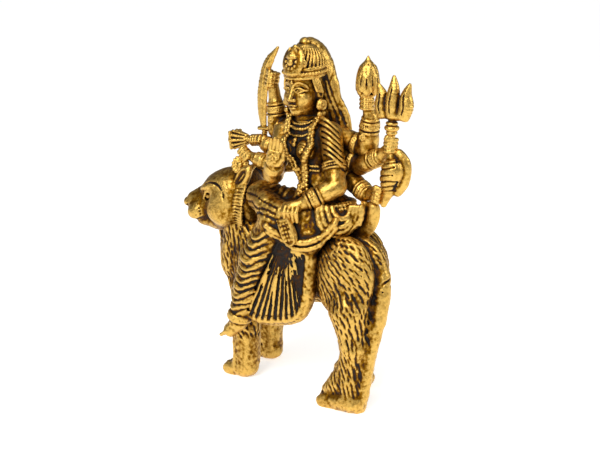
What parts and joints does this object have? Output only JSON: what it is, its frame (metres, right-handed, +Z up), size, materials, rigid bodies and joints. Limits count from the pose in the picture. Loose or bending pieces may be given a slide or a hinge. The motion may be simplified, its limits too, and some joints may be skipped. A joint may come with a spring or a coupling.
{
  "type": "hindu deity statue",
  "caption": "Cast brass idol of an eight-armed goddess with crown and emblems, riding side-saddle on a standing lion, in an antique finish.",
  "frame": {"origin": "centre of the idol's footprint, on the ground under the paws", "axes": "+Z up; -Y is the way the goddess faces; the lion walks towards -X"},
  "size_m": [0.1104, 0.0438, 0.1491],
  "materials": {
    "lion_brass": "cast, chased fur, dark antique patina in the recesses",
    "body_brass": "cast, hand-polished high spots, dark antique patina in the recesses",
    "cloth_brass": "cast, chiselled pleats, dark antique patina in the recesses",
    "jewellery_brass": "cast, beaded and chased, dark antique patina in the recesses",
    "emblem_brass": "cast, filed and lightly polished"
  },
  "bodies": {
    "root": {"anklet": "jewellery_brass", "arm_left_conch": "body_brass", "arm_left_lotus": "body_brass", "arm_left_resting": "body_brass", "arm_left_trident": "body_brass", "arm_right_blessing": "body_brass", "arm_right_discus": "body_brass", "arm_right_mace": "body_brass", "arm_right_sword": "body_brass", "armlets": "jewellery_brass", "bangles_left_conch": "jewellery_brass", "bangles_left_lotus": "jewellery_brass", "bangles_left_resting": "jewellery_brass", "bangles_left_trident": "jewellery_brass", "bangles_right_blessing": "jewellery_brass", "bangles_right_discus": "jewellery_brass", "bangles_right_mace": "jewellery_brass", "bangles_right_sword": "jewellery_brass", "conch": "emblem_brass", "crown": "jewellery_brass", "discus": "emblem_brass", "earrings": "jewellery_brass", "foreleg_left": "lion_brass", "foreleg_right": "lion_brass", "garland": "jewellery_brass", "girdle": "jewellery_brass", "goddess_head": "body_brass", "goddess_torso": "body_brass", "hair_veil": "cloth_brass", "hindleg_left": "lion_brass", "hindleg_right": "lion_brass", "left_foot": "body_brass", "left_leg": "cloth_brass", "lion_head": "lion_brass", "lion_mane": "lion_brass", "lion_tail": "lion_brass", "lion_trunk": "lion_brass", "lotus_bud": "emblem_brass", "mace": "emblem_brass", "necklace": "jewellery_brass", "right_leg": "cloth_brass", "sash_end": "cloth_brass", "sash_loops": "cloth_brass", "scarf": "cloth_brass", "skirt_pleats": "cloth_brass", "sword": "emblem_brass", "trident": "emblem_brass"}
  },
  "joints": []
}
